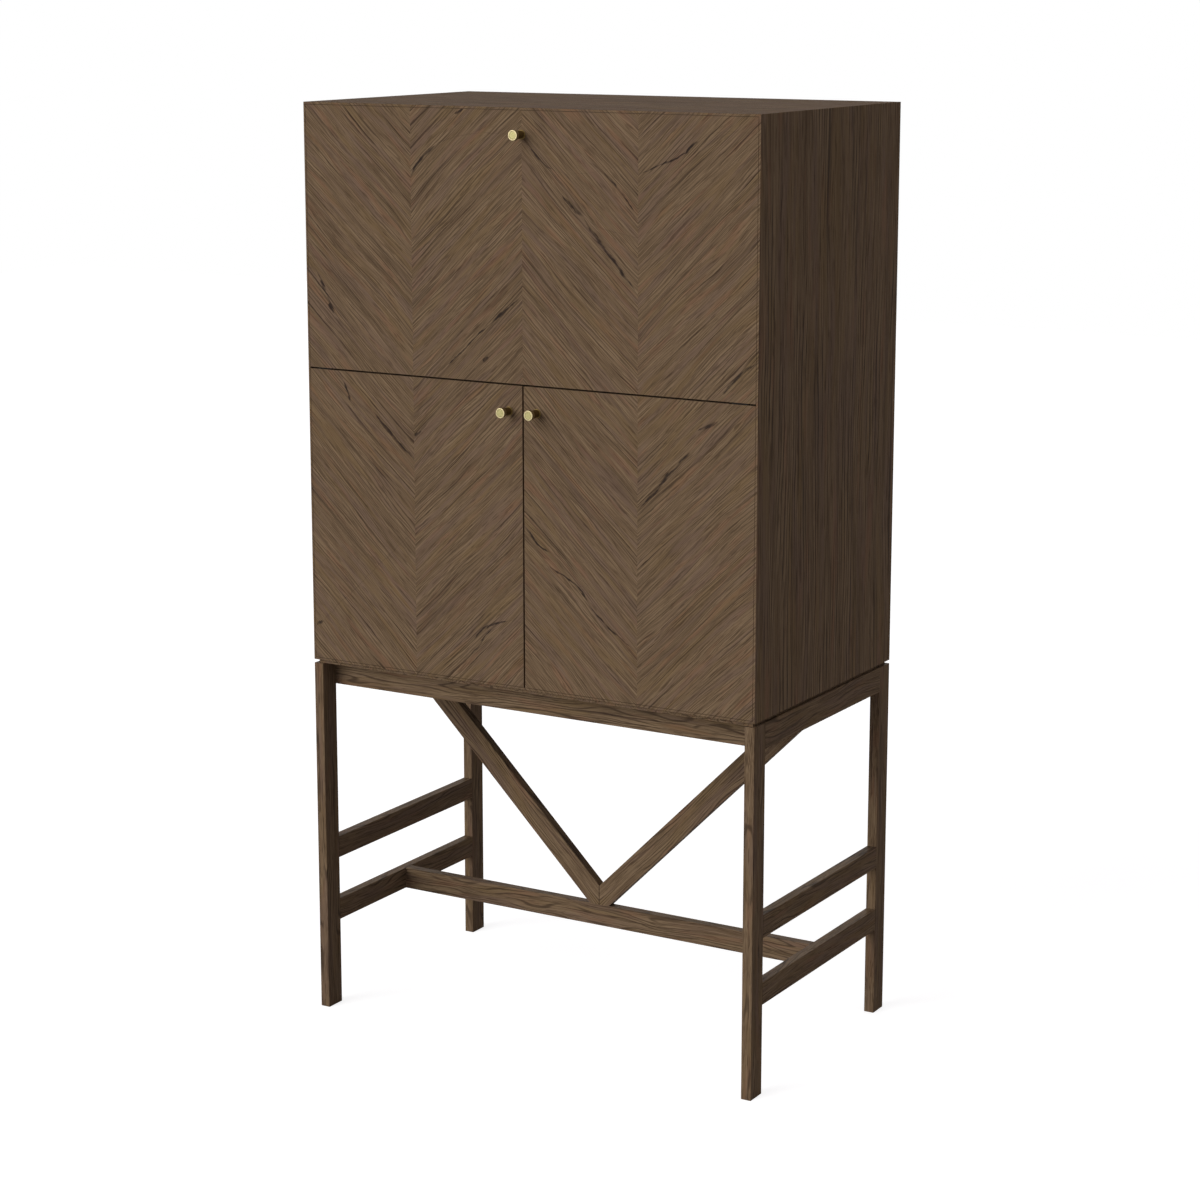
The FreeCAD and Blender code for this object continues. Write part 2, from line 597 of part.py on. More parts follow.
# Divider that is the floor of the bar, and the batten under its front edge that stops the doors.
INNER_SPAN = (f"-{INNER_HALF}", INNER_HALF)
divider_board = box(INNER_SPAN, (SHOULDER, BACK_FRONT), (DIVIDER_BOTTOM, DIVIDER_TOP))
keep(carve(divider_board, divider_dowels, upper_brackets, bracket_screws), "divider")
batten_span = (SHOULDER, f"{SHOULDER} + batten_depth")
batten_board = box(INNER_SPAN, batten_span, (BATTEN_BOTTOM, DIVIDER_BOTTOM))
keep(carve(batten_board, upper_brackets, catch_magnets), "divider_batten")

# Adjustable shelf on its four pins.
shelf_span = (f"-({INNER_HALF} - shelf_clearance)", f"{INNER_HALF} - shelf_clearance")
shelf_depth = (f"{SHOULDER} + shelf_setback", f"{BACK_FRONT} - shelf_clearance")
shelf_corners = rectangle(shelf_depth, (SHELF_BOTTOM, f"{SHELF_BOTTOM} + shelf_thickness"))
keep(prism("YZ_Plane", shelf_corners, *shelf_span, along_x), "shelf")


def knob(x, z):
    """A turned knob with a collar, a slim stem and a wide flat head that is dished inside its rim."""
    body = doc.addObject("PartDesign::Body", "Knob")
    stem, head = "knob_stem_diameter / 2", "knob_head_diameter / 2"
    neck = "knob_reach - knob_head_length"
    profile = outline(body, "XZ_Plane", [
        ("0", "0"),
        (f"({stem} + {head}) / 2", "0"),
        (f"({stem} + {head}) / 2", "knob_collar_length"),
        (stem, "knob_collar_length"),
        (stem, neck),
        (head, neck),
        (head, "knob_reach"),
        (f"{head} - knob_rim", "knob_reach"),
        (f"{head} - knob_rim - knob_dish", "knob_reach - knob_dish"),
        ("0", "knob_reach - knob_dish"),
    ])
    turned = body.newObject("PartDesign::Revolution", "Turned")
    turned.Profile = profile
    turned.ReferenceAxis = (profile, ["V_Axis"])
    turned.Angle = 360
    doc.recompute()
    rims = [
        f"Edge{number}"
        for number, edge in enumerate(turned.Shape.Edges, 1)
        if edge.Curve.TypeId == "Part::GeomCircle"
        and abs(edge.Curve.Radius - sheet.knob_head_diameter / 2) < sheet.knob_rim / 2
    ]
    rounding = body.newObject("PartDesign::Fillet", "Rounding")
    rounding.Base = (turned, rims)
    bind(rounding, Radius="knob_rounding")
    return put(body, (x, FRONT, z), Rotation(UP, FORWARD))


def knob_screw(x, z):
    """The screw through a front into its knob, with the head on the inside."""
    start = (x, f"{FRONTS_REAR} + knob_screw_head_height", z)
    head = rod(start, FORWARD, "knob_screw_head_height", "knob_screw_head_diameter")
    reach = "knob_screw_head_height + front_thickness + knob_screw_grip"
    return join(head, rod(start, FORWARD, reach, "knob_screw_diameter"))


def strike(x, z):
    """The steel disc that a magnet holds, with a stem pressed into the front."""
    start = (x, f"{FRONTS_REAR} + strike_thickness", z)
    disc = rod(start, FORWARD, "strike_thickness", "strike_diameter")
    reach = "strike_thickness + strike_stem_length"
    return join(disc, rod(start, FORWARD, reach, "strike_stem_diameter"))


def bush(start, direction):
    """A plain bearing bush set in a front's edge, for one pivot pin."""
    sleeve = rod(start, direction, "bush_length", "bush_diameter")
    bore = rod(start, direction, "bush_length", "pin_diameter + 2 * pin_clearance")
    return sleeve, carve(sleeve, bore)


def front_panel(label, width_span, height_span, knob_place, bushes, *fittings):
    """A flap or door with its knob, knob screw, bushes and other fittings seated in it."""
    screw = keep(knob_screw(*knob_place), f"{label}_knob_screw")
    keep(carve(knob(*knob_place), screw), f"{label}_knob")
    sleeves = [sleeve for sleeve, finished in bushes]
    keep(group([finished for sleeve, finished in bushes]), f"{label}_bushes")
    corners = rectangle(width_span, height_span)
    board = prism("XZ_Plane", corners, FRONT, FRONTS_REAR, across_y, "front_rounding")
    keep(carve(board, screw, *sleeves, *fittings), label)


# Feet of the stays on the flap's inner face, with their screws and pivot pins.
feet = []
foot_pins = []
foot_screws = []
for side, sign in SIDES:
    plate_inner = f"({FOOT_OUTER} - stay_foot_width)"
    plate_depth = (FRONTS_REAR, f"{FRONTS_REAR} + stay_foot_thickness")
    plate_height = (f"{STAY_FOOT_Z} - stay_foot_half", f"{STAY_FOOT_Z} + stay_foot_half")
    plate = box(mirrored(sign, plate_inner, FOOT_OUTER), plate_depth, plate_height)
    ear_height = (f"{STAY_FOOT_Z} - stay_width / 2", f"{STAY_FOOT_Z} + stay_width / 2")
    ear = box(mirrored(sign, FOOT_INNER, FOOT_OUTER), (FRONTS_REAR, STAY_FOOT_Y), ear_height)
    eye_start = (f"{sign} * {FOOT_OUTER}", STAY_FOOT_Y, STAY_FOOT_Z)
    eye = rod(eye_start, RIGHT * -sign, "stay_foot_thickness", "stay_width")
    feet.append(join(plate, ear, eye))
    pin_start = (f"{sign} * {FOOT_INNER}", STAY_FOOT_Y, STAY_FOOT_Z)
    pin_length = "stay_foot_thickness + 2 * stay_play + stay_thickness"
    rivet = rod(pin_start, RIGHT * sign, f"{pin_length} + stay_pin_head_height", "stay_pin_diameter")
    rivet_head_start = (f"{sign} * ({FOOT_INNER} + {pin_length})", STAY_FOOT_Y, STAY_FOOT_Z)
    rivet_head = rod(rivet_head_start, RIGHT * sign, "stay_pin_head_height", "stay_pin_head_diameter")
    foot_pins.append(join(rivet, rivet_head))
    screw_x = f"{sign} * ({plate_inner} + {FOOT_INNER}) / 2"
    for step in (-1, 1):
        screw_z = f"{STAY_FOOT_Z} + {step} * (stay_foot_half - screw_spread)"
        start = (screw_x, plate_depth[1], screw_z)
        foot_screws.append(countersunk(start, FORWARD, "stay_foot_screw_length"))
foot_pins = keep(group(foot_pins), "stay_foot_pins")
foot_screws = keep(group(foot_screws), "stay_foot_screws")
keep(carve(group(feet), foot_pins, foot_screws), "stay_feet")

# Stays: slotted bars that turn on their feet; a guide pin runs in each slot and stops the flap.
STAY_ANGLE = f"atan({STAY_ARM_Y} / stay_foot_height)"
STAY_SPREAD = f"(stay_guide_angle * 1 deg - {STAY_ANGLE})"
CHORD_CLOSED = f"(2 * {STAY_RADIUS} * sin({STAY_SPREAD} / 2))"
CHORD_OPEN = f"(2 * {STAY_RADIUS} * sin(({STAY_SPREAD} + flap_opening_angle * 1 deg) / 2))"
SLOT_WIDTH = "(stay_pin_diameter + 2 * stay_slot_play)"
for side, sign in SIDES:
    bar_x = mirrored(sign, STAY_INNER, STAY_OUTER)
    tip_y = f"{CHORD_OPEN} + stay_width / 2"
    bar = box(bar_x, ("0", tip_y), ("-stay_width / 2", "stay_width / 2"))
    heel = rod((bar_x[0], "0", "0"), RIGHT, "stay_thickness", "stay_width")
    toe = rod((bar_x[0], tip_y, "0"), RIGHT, "stay_thickness", "stay_width")
    slot = box(bar_x, (CHORD_CLOSED, CHORD_OPEN), (f"-{SLOT_WIDTH} / 2", f"{SLOT_WIDTH} / 2"))
    slot_rounds = [
        rod((bar_x[0], end, "0"), RIGHT, "stay_thickness", SLOT_WIDTH)
        for end in (CHORD_CLOSED, CHORD_OPEN)
    ]
    eye_diameter = "stay_pin_diameter + 2 * pin_clearance"
    eye_bore = rod((bar_x[0], "0", "0"), RIGHT, "stay_thickness", eye_diameter)
    stay = carve(join(bar, heel, toe), join(slot, *slot_rounds), eye_bore)
    stay.Placement = FreeCAD.Placement(Vector(), Rotation(RIGHT * -1, 1))
    bind(stay, Placement__Rotation__Angle=f"({STAY_ANGLE} + stay_guide_angle * 1 deg) / 2")
    bind(stay, Placement__Base__y=STAY_FOOT_Y, Placement__Base__z=STAY_FOOT_Z)
    keep(stay, f"{side}_stay")

# Fall flap, with a knob at its top centre and bushes in its side edges.
flap_bushes = [
    bush((f"{sign} * {FRONTS_HALF}", PIVOT_Y, FLAP_AXIS_Z), RIGHT * -sign)
    for side, sign in SIDES
]
strike_pair = [strike(f"{sign} * flap_magnet_spread", FLAP_MAGNET_Z) for side, sign in SIDES]
flap_strikes = keep(group(strike_pair), "flap_strikes")
flap_knob_place = ("0", f"({FLAP_TOP} - flap_knob_drop)")
front_panel("flap", (f"-{FRONTS_HALF}", FRONTS_HALF), (FLAP_BOTTOM, FLAP_TOP), flap_knob_place,
            flap_bushes, flap_strikes, foot_screws)

# Pair of doors, with knobs at their upper inner corners and bushes in their top and bottom edges.
for side, sign in SIDES:
    axis = f"{sign} * {DOOR_AXIS_X}"
    door_bushes = [bush((axis, PIVOT_Y, DOOR_BOTTOM), UP), bush((axis, PIVOT_Y, DOOR_TOP), DOWN)]
    door_strike = keep(strike(f"{sign} * {DOOR_MAGNET_X}", DOOR_MAGNET_Z), f"{side}_door_strike")
    knob_place = (f"{sign} * (split_gap / 2 + door_knob_inset)", f"({DOOR_TOP} - door_knob_drop)")
    front_panel(f"{side}_door", mirrored(sign, "split_gap / 2", FRONTS_HALF), (DOOR_BOTTOM, DOOR_TOP),
                knob_place, door_bushes, door_strike)

doc.recompute()
failed = [item.Label for item in doc.Objects if {"Invalid", "Error"} & set(item.State)]
unsound = [item.Label for item in pieces if item.Shape.isNull() or not item.Shape.isValid()]
if failed or unsound:
    raise RuntimeError(f"failed objects {failed}, unsound pieces {unsound}")

os.makedirs("parts", exist_ok=True)
for item in pieces:
    item.Shape.exportStep(f"parts/{item.Label}.step")
    print(f"{item.Label}: {len(item.Shape.Solids)} solids, {item.Shape.Volume / 1000:.2f} cm3")
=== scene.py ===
import functools
import json
import math

import bpy
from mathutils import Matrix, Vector

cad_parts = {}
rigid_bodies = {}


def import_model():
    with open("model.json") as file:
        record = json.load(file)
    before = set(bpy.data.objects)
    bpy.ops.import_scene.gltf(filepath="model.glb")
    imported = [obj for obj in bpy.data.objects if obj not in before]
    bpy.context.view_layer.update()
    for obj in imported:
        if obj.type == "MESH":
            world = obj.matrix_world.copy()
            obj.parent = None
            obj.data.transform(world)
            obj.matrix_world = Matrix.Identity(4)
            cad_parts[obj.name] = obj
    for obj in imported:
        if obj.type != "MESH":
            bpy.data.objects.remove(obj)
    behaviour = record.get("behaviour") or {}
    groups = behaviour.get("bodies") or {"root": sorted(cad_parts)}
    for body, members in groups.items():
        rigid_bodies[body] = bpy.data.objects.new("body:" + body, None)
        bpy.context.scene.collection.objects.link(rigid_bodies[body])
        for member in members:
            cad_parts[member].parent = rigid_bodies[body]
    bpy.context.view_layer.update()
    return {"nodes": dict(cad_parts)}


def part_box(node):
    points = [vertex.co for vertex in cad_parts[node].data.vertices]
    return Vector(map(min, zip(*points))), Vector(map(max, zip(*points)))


for leftover in list(bpy.data.objects):
    bpy.data.objects.remove(leftover)

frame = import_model()
nodes = frame["nodes"]


# Stand: four legs, three rails at each side, a front and a rear rail and a low stretcher, all of
# solid oak sawn square, with eased edges. It is stained brown, sealed with a matt lacquer and
# dowelled together, and the grain runs along each member.
class Wire:
    """A socket in a material's nodes; arithmetic on it adds the Math nodes it needs."""

    def __init__(self, tree, socket=None):
        self.tree = tree
        self.socket = socket

    def node(self, kind, settings, sockets, output=0):
        """Adds any other node: its settings first, then the values or links of its sockets."""
        made = self.tree.nodes.new(kind)
        for name, value in settings.items():
            setattr(made, name, value)
        for name, value in sockets.items():
            if isinstance(value, Wire):
                self.tree.links.new(value.socket, made.inputs[name])
            else:
                made.inputs[name].default_value = value
        return Wire(self.tree, made.outputs[output] if made.outputs else None)

    def math(self, operation, *values):
        """Adds one Math node."""
        return self.node("ShaderNodeMath", {"operation": operation}, dict(enumerate(values)))

    def __add__(self, other):
        return self.math("ADD", self, other)

    def __radd__(self, other):
        return self.math("ADD", other, self)

    def __sub__(self, other):
        return self.math("SUBTRACT", self, other)

    def __rsub__(self, other):
        return self.math("SUBTRACT", other, self)

    def __mul__(self, other):
        return self.math("MULTIPLY", self, other)

    def __rmul__(self, other):
        return self.math("MULTIPLY", other, self)

    def __truediv__(self, other):
        return self.math("DIVIDE", self, other)

    def __mod__(self, other):
        return self.math("FLOORED_MODULO", self, other)

    def __pow__(self, other):
        return self.math("POWER", self, other)

    def __abs__(self):
        return self.math("ABSOLUTE", self)

    def __floor__(self):
        return self.math("FLOOR", self)


def rise(value, low, high):
    """Goes smoothly from 0 to 1 while a value goes from low to high."""
    limits = {"Value": value, "From Min": low, "From Max": high}
    return value.node("ShaderNodeMapRange", {"interpolation_type": "SMOOTHSTEP"}, limits)


def tinted(share, first, second):
    """A colour between two, with the given share of the second."""
    settings = {"data_type": "RGBA", "clamp_factor": True}
    return share.node("ShaderNodeMix", settings, {0: share, 6: first, 7: second}, output=2)


def tone(red, green, blue):
    """A colour as it looks on a screen, 0 to 255, in the linear values that a shader takes."""
    shares = [part / 255 for part in (red, green, blue)]
    return (*(((share + 0.055) / 1.055) ** 2.4 for share in shares), 1.0)


def new_finish(name):
    """An empty material, and a wire to build its nodes from."""
    material = bpy.data.materials.new(name)
    material.use_nodes = True
    material.node_tree.nodes.clear()
    return material, Wire(material.node_tree)


MILLIMETRES = 1000


def place_on_piece(root, axes="XYZ"):
    """Where a point lies on its piece, along each of the axes in millimetres."""
    metres = root.node("ShaderNodeTexCoord", {}, {}, output="Object")
    scaled = root.node("ShaderNodeVectorMath", {"operation": "SCALE"}, {0: metres, "Scale": MILLIMETRES})
    return [root.node("ShaderNodeSeparateXYZ", {}, {0: scaled}, output=axis) for axis in axes]


def drawn_out(grain, length, width, detail):
    """Noise from 0 to 1 whose blotches are stretched along the grain, in millimetres."""
    along, across, depth = grain
    sockets = {0: along / length, 1: across / width, 2: depth / width}
    stretched = along.node("ShaderNodeCombineXYZ", {}, sockets)
    noise = {"Vector": stretched, "Scale": 1.0, "Detail": detail, "Roughness": 0.55}
    return along.node("ShaderNodeTexNoise", {"noise_dimensions": "3D"}, noise)


def waver(grain, length, width, detail, swing):
    """A value that swings about zero from one blotch of the noise to the next."""
    return (drawn_out(grain, length, width, detail) - 0.5) * swing


def patches(grain, length, width, detail, start, full):
    """Blotches that start at one level of the noise, at 0, and are full at another, at 1."""
    return rise(drawn_out(grain, length, width, detail), start, full)


OAK_DEEP = tone(82, 65, 49)
OAK_LIGHT = tone(123, 103, 80)
OAK_RED = tone(118, 87, 67)
OAK_GOLD = tone(108, 88, 61)
OAK_MAUVE = tone(104, 85, 73)
OAK_VEIN = tone(50, 39, 31)
OAK_PORE = tone(54, 41, 31)
OAK_ROUGHNESS = 0.62
PORE_ROUGHER = 0.12
STREAK_SMOOTHER = 0.12
PORE_DEPTH = 0.6
RING_DEPTH = 0.25
VEIN_DEPTH = 0.3
RING_SOFTNESS = 0.14
PALER_BETWEEN_RINGS = 0.3


def stained_oak(grain, ring_gap, ring_bend, ring_dark, ring_rare, pale=0.51):
    """Colour, roughness and relief of brown stained oak at a place along, across and into its grain.

    The growth rings lie a gap apart, bend into arches and are dark lines where the noise is above the
    level that makes them rare. The wood has the given share of its paler brown.
    """
    along, across, depth = grain
    drift = waver(grain, length=300, width=58, detail=1, swing=26)
    wobble = waver(grain, length=50, width=10, detail=2, swing=4)
    line = across + drift + wobble
    bent = (along, line, depth)

    # From one ring to the next the turn goes up by two, and a ring is darkest where it is odd.
    arch = drawn_out(bent, length=190, width=30, detail=1)
    turn = line * (2 / ring_gap) + arch * ring_bend
    ringed = patches(bent, length=130, width=22, detail=1, start=ring_rare, full=ring_rare + RING_SOFTNESS)
    ring = ringed * rise(1 - abs(turn % 2 - 1), low=0.58, high=0.92)
    flame = patches(bent, length=200, width=11, detail=3, start=0.54, full=0.72)
    vein = patches(bent, length=280, width=3.4, detail=3, start=0.59, full=0.70)
    pore = patches(bent, length=26, width=1.3, detail=1, start=0.55, full=0.68)
    warm = patches(bent, length=90, width=13, detail=1, start=0.54, full=0.72)
    gold = patches(bent, length=130, width=17, detail=1, start=0.50, full=0.70)
    mauve = patches(bent, length=150, width=15, detail=2, start=0.48, full=0.66)

    cloud = waver(bent, length=420, width=48, detail=1, swing=0.10)
    band = waver(bent, length=320, width=16, detail=3, swing=0.70)
    streak = waver(bent, length=260, width=2.4, detail=3, swing=0.85)
    hair = waver(bent, length=80, width=1.0, detail=1, swing=2.40)
    level = pale + cloud + band + streak + hair + ringed * (ring_dark * PALER_BETWEEN_RINGS)
    colour = tinted(level, OAK_DEEP, OAK_LIGHT)
    stains = [
        (warm, 0.45, OAK_RED),
        (gold, 0.50, OAK_GOLD),
        (mauve, 0.50, OAK_MAUVE),
        (flame, 0.30, OAK_VEIN),
        (ring, ring_dark, OAK_VEIN),
        (vein, 0.75, OAK_VEIN),
        (pore, 0.45, OAK_PORE),
    ]
    for stain, strength, stain_tone in stains:
        colour = tinted(stain * strength, colour, stain_tone)
    roughness = OAK_ROUGHNESS + pore * PORE_ROUGHER - streak * STREAK_SMOOTHER
    relief = 1 - pore * PORE_DEPTH - ring * RING_DEPTH - vein * VEIN_DEPTH
    return colour, roughness, relief


def close_finish(root, colour, roughness, relief, strength, depth, constants):
    """Ends a finish in its shader, with a relief of the given strength and depth in metres."""
    bump = {"Strength": strength, "Distance": depth, "Height": relief}
    normal = root.node("ShaderNodeBump", {}, bump)
    sockets = {"Base Color": colour, "Roughness": roughness, "Normal": normal, **constants}
    shader = root.node("ShaderNodeBsdfPrincipled", {}, sockets)
    root.node("ShaderNodeOutputMaterial", {}, {"Surface": shader})


def lacquered_wood(root, colour, roughness, relief, sheen=0.02):
    """Ends a wood finish in a matt lacquer, in which the open pores stay."""
    gloss = {"Specular IOR Level": sheen}
    close_finish(root, colour, roughness, relief, strength=0.35, depth=0.0003, constants=gloss)


def facing(root, axis):
    """How a surface of the piece faces along one axis, from -1 to 1."""
    normal = root.node("ShaderNodeTexCoord", {}, {}, output="Normal")
    return root.node("ShaderNodeSeparateXYZ", {}, {0: normal}, output=axis)


def wear(material, *names):
    """Gives a finish to pieces of the frame."""
    for name in names:
        nodes[name].data.materials.clear()
        nodes[name].data.materials.append(material)


SOLID_RINGS = {"ring_gap": 6.5, "ring_bend": 12.0, "ring_dark": 0.68, "ring_rare": 0.44}
FLAT_SAWN_RINGS = {"ring_gap": 8.0, "ring_bend": 18.0, "ring_dark": 0.66, "ring_rare": 0.36}
UPPER_SMOOTHER = 0.24


def solid_oak(name, axes, rings=SOLID_RINGS):
    """Solid oak, rubbed smoother on its upper faces; the axes lie along, across and into its grain."""
    material, root = new_finish(name)
    colour, roughness, relief = stained_oak(place_on_piece(root, axes), **rings)
    upper = rise(facing(root, "Z"), low=0.75, high=0.95)
    lacquered_wood(root, colour, roughness - upper * UPPER_SMOOTHER, relief)
    return material


wear(solid_oak("oak_upright", "ZYX"),
     "front_left_leg", "rear_left_leg", "front_right_leg", "rear_right_leg")
wear(solid_oak("oak_side_rail", "YZX"),
     "left_top_rail", "left_upper_rail", "left_lower_rail",
     "right_top_rail", "right_upper_rail", "right_lower_rail")
wear(solid_oak("oak_cross_rail", "XZY", FLAT_SAWN_RINGS),
     "front_top_rail", "rear_top_rail", "centre_stretcher")

# Braces: two bars of the same oak that meet in a glued mitre on the stretcher and rise to the side
# rails. Their grain follows their slope, which is taken from the box round each brace, and the mitre
# shows as a thin dark line.
MITRE_DARK = 0.7
MITRE_DEPTH = 0.5
for side, sign in (("left", -1), ("right", 1)):
    low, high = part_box(f"{side}_brace")
    slope = math.atan2(high.z - low.z, high.x - low.x)
    brace_oak, root = new_finish(f"oak_{side}_brace")
    x, y, z = place_on_piece(root)
    along = x * (sign * math.cos(slope)) + z * math.sin(slope)
    across = z * math.cos(slope) - x * (sign * math.sin(slope))
    colour, roughness, relief = stained_oak((along, across, y), **SOLID_RINGS)
    mitre = 1 - rise(abs(x), low=0.5, high=1.3)
    colour = tinted(mitre * MITRE_DARK, colour, OAK_VEIN)
    lacquered_wood(root, colour, roughness, relief - mitre * MITRE_DEPTH)
    wear(brace_oak, f"{side}_brace")

# Plinth strips: four strips of the same oak, bolted between the stand and the cabinet. They are set
# back all round, so that only a shadow shows.
plinth_oak, root = new_finish("oak_plinth")
x, y, z = place_on_piece(root)
lacquered_wood(root, *stained_oak((x + y, z, y - x), **SOLID_RINGS))
wear(plinth_oak, "front_plinth", "rear_plinth", "left_plinth", "right_plinth")

# Carcass: four panels veneered in the same oak and mitred at the corners. The grain stands upright on
# the sides and lies along the top and bottom; the narrow front edges carry on the pattern of the fronts,
# which is four leaves of veneer laid at a slant.
carcass_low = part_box("bottom_panel")[0]
carcass_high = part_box("top_panel")[1]
LEAF_COUNT = 4
LEAF_WIDTH = (carcass_high.x - carcass_low.x) * MILLIMETRES / LEAF_COUNT
LEAF_ANGLE = math.radians(43.5)
# Each leaf is cut this many millimetres along and across from the last one, so that no two are alike.
LEAF_PITCH = 1400
LEAF_SHIFT = 97
VENEER_RINGS = {"ring_gap": 5.2, "ring_bend": 4.5, "ring_dark": 0.55, "ring_rare": 0.48}


def leaf_place(x, z):
    """The leaf of a point on the front, and its place along and across the grain of that leaf."""
    leaf = math.floor(x / LEAF_WIDTH)
    from_joint = abs(abs(x) - LEAF_WIDTH)
    along = from_joint * math.cos(LEAF_ANGLE) + z * math.sin(LEAF_ANGLE)
    across = z * math.cos(LEAF_ANGLE) - from_joint * math.sin(LEAF_ANGLE)
    return leaf, along + leaf * LEAF_PITCH, across


def chevron_veneer(x, y, z):
    """Veneer of four leaves laid at a slant, so that they meet in two valleys and a ridge."""
    leaf, along, across = leaf_place(x, z)
    return stained_oak((along, across + leaf * LEAF_SHIFT, y), **VENEER_RINGS)


def with_chevron_front(root, plain, chevron, sheen=0.02):
    """Plain veneer, with the slanted leaves on what faces the front."""
    colour, roughness, relief = plain
    front_colour, front_roughness, front_relief = chevron
    forward = rise(-1 * facing(root, "Y"), low=0.5, high=0.8)
    colour = tinted(forward, colour, front_colour)
    roughness = roughness + forward * (front_roughness - roughness)
    relief = relief + forward * (front_relief - relief)
    lacquered_wood(root, colour, roughness, relief, sheen)


SIDE_RINGS = {"ring_gap": 5.0, "ring_bend": 5.0, "ring_dark": 0.85, "ring_rare": 0.48}
# The figure of the sides is nearly twice as large: a millimetre there counts as these shares of one.
SIDE_SHARE_ALONG = 0.5
SIDE_SHARE_ACROSS = 0.55
side_veneer, root = new_finish("oak_side_veneer")
x, y, z = place_on_piece(root)
upright = stained_oak((z * SIDE_SHARE_ALONG, y * SIDE_SHARE_ACROSS, x), **SIDE_RINGS)
with_chevron_front(root, upright, chevron_veneer(x, y, z))
wear(side_veneer, "left_side_panel", "right_side_panel")

shade_painted_level_veneer, root = new_finish("oak_flat_veneer_painted_shade")
x, y, z = place_on_piece(root)
# The top and bottom panels take a far smaller share of the paler brown than the rest of the oak, 0.17
# against 0.51, so that they are darker: painted shade, for a top that gets less light than the fronts.
lengthwise_painted_shade = stained_oak((x, y, z), **VENEER_RINGS, pale=0.17)
with_chevron_front(root, lengthwise_painted_shade, chevron_veneer(x, y, z), sheen=0.011)
wear(shade_painted_level_veneer, "top_panel", "bottom_panel")

# Inside: the divider that is the floor of the bar, its batten, the shelf and the back, in plain oak
# veneer. The divider is dowelled, the shelf lies on pins and the back is screwed into a rebate.
level_plain, root = new_finish("oak_level_plain")
x, y, z = place_on_piece(root)
lacquered_wood(root, *stained_oak((x, y + z, z - y), **VENEER_RINGS))
wear(level_plain, "divider", "divider_batten", "shelf")

upright_plain, root = new_finish("oak_upright_plain")
lacquered_wood(root, *stained_oak(place_on_piece(root, "ZXY"), **VENEER_RINGS))
wear(upright_plain, "back_panel")

# Dowels and splines: turned and sawn from raw beech, whose short dark flecks show along its grain. They
# are glued in and hidden once the joints are closed.
BEECH_ROUGHNESS = 0.65
FLECK_ROUGHER = 0.1
beech, root = new_finish("raw_beech")
x, y, z = place_on_piece(root)
fleck = drawn_out((x + y, z, y - x), length=9, width=1.2, detail=2)
beech_colour = tinted(fleck, tone(168, 128, 88), tone(206, 168, 124))
lacquered_wood(root, beech_colour, BEECH_ROUGHNESS + fleck * FLECK_ROUGHER, fleck)
wear(beech, "frame_dowels", "divider_dowels", "corner_splines")


# Steel fastenings: bolts, screws, shelf pins and the strikes of the catches. They are bought in, zinc
# plated, and have the dull spangle of plating.
def metal(root, colour, roughness, relief, depth):
    """Ends a metal finish, with a fine relief of the given depth in metres."""
    close_finish(root, colour, roughness, relief, strength=0.4, depth=depth, constants={"Metallic": 1.0})


def marked_metal(name, axes, length, width, detail, dark, bright, smooth, rough, depth):
    """A metal with fine marks, drawn out along the first of the axes, that are brighter and rougher."""
    material, root = new_finish(name)
    marks = drawn_out(place_on_piece(root, axes), length, width, detail)
    metal(root, tinted(marks, dark, bright), smooth + marks * (rough - smooth), marks, depth)
    return material


zinc = marked_metal("zinc_plated_steel", "XYZ", length=1.5, width=1.5, detail=3,
                    dark=tone(150, 150, 148), bright=tone(196, 197, 196),
                    smooth=0.30, rough=0.50, depth=0.00005)
wear(zinc, "stand_bolts", "bracket_screws", "back_screws", "shelf_pins", "stay_foot_screws",
     "flap_knob_screw", "left_door_knob_screw", "right_door_knob_screw",
     "flap_strikes", "left_door_strike", "right_door_strike")

# Pivot pins: lengths of bare steel rod that stand in the brackets and run in the bushes of the fronts.
# They have gone dull and dark with oil.
oiled_steel = marked_metal("oiled_steel", "XYZ", length=2, width=2, detail=2,
                           dark=tone(62, 58, 54), bright=tone(88, 84, 78),
                           smooth=0.42, rough=0.62, depth=0.00003)
wear(oiled_steel, "pivot_pins")

# Magnets of the catches: short rods pressed into bores in the top panel and the batten. They are nickel
# plated and brighter than the screws.
nickel = marked_metal("nickel_plated_magnet", "XYZ", length=3, width=3, detail=2,
                      dark=tone(168, 164, 156), bright=tone(206, 202, 194),
                      smooth=0.16, rough=0.28, depth=0.00003)
wear(nickel, "catch_magnets")

# Pivot brackets: bent from sheet steel and screwed into the carcass beside each front. A black powder
# coat gives them a fine grit.
COAT_ROUGHNESS = 0.55
GRIT_ROUGHER = 0.25
black_coat, root = new_finish("black_powder_coat")
grit = drawn_out(place_on_piece(root), length=0.7, width=0.7, detail=2)
coat_colour = tinted(grit, tone(16, 14, 12), tone(32, 28, 24))
coat_roughness = COAT_ROUGHNESS + grit * GRIT_ROUGHER
coat_gloss = {"Specular IOR Level": 0.1}
close_finish(root, coat_colour, coat_roughness, grit, strength=0.3, depth=0.0001, constants=coat_gloss)
wear(black_coat, "flap_brackets", "lower_door_brackets", "upper_door_brackets")

# Fronts: the flap and two doors, boards veneered outside with slanted leaves that run on from one front
# to the next, with dark checks here and there. Inside and on the edges the veneer is plain: along the
# flap, upright on the doors. They turn on the pivot pins.
CHECK_TONE = tone(34, 29, 28)
CHECK_DARK = 0.52
CHECK_DARKER = 0.34
CHECK_NARROW = 0.50
CHECK_WIDER = 0.35
CHECK_BLUR = 0.3
CHECK_CORE = 0.5
CHECK_ROUGHER = 0.15
CHECK_DEPTH = 0.5


